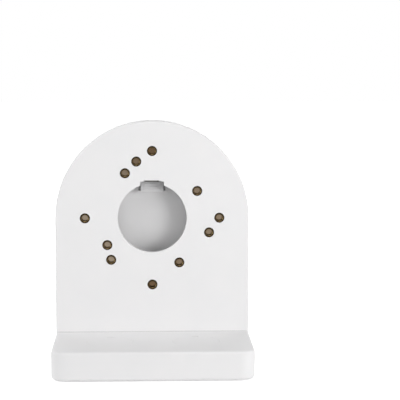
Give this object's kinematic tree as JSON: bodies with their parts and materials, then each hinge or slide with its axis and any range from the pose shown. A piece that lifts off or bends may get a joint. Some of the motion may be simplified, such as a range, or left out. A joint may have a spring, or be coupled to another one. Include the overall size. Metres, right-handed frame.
{
  "type": "camera wall bracket",
  "caption": "L-shaped white wall bracket for a dome camera: arched hollow shelf with threaded inserts, a cable hole with a latch, and a flat wall leg.",
  "frame": {"origin": "middle of the wall face, which the bracket stands on", "axes": "+Z out of the wall and along the shelf, -Y towards the side that carries the camera, +X across. On a wall, +Z is level and +Y points up."},
  "size_m": [0.1156, 0.074, 0.1433],
  "materials": {
    "shell_plastic": "satin white ABS",
    "cover_plastic": "satin white ABS",
    "cap_plastic": "satin white ABS",
    "insert_brass": "dull turned brass"
  },
  "bodies": {
    "root": {"bracket_body": "shell_plastic", "top_cover": "cover_plastic", "screw_cap_left": "cap_plastic", "screw_cap_right": "cap_plastic", "inserts_outer_circle": "insert_brass", "inserts_inner_circle": "insert_brass", "inserts_middle_circle": "insert_brass"}
  },
  "joints": []
}
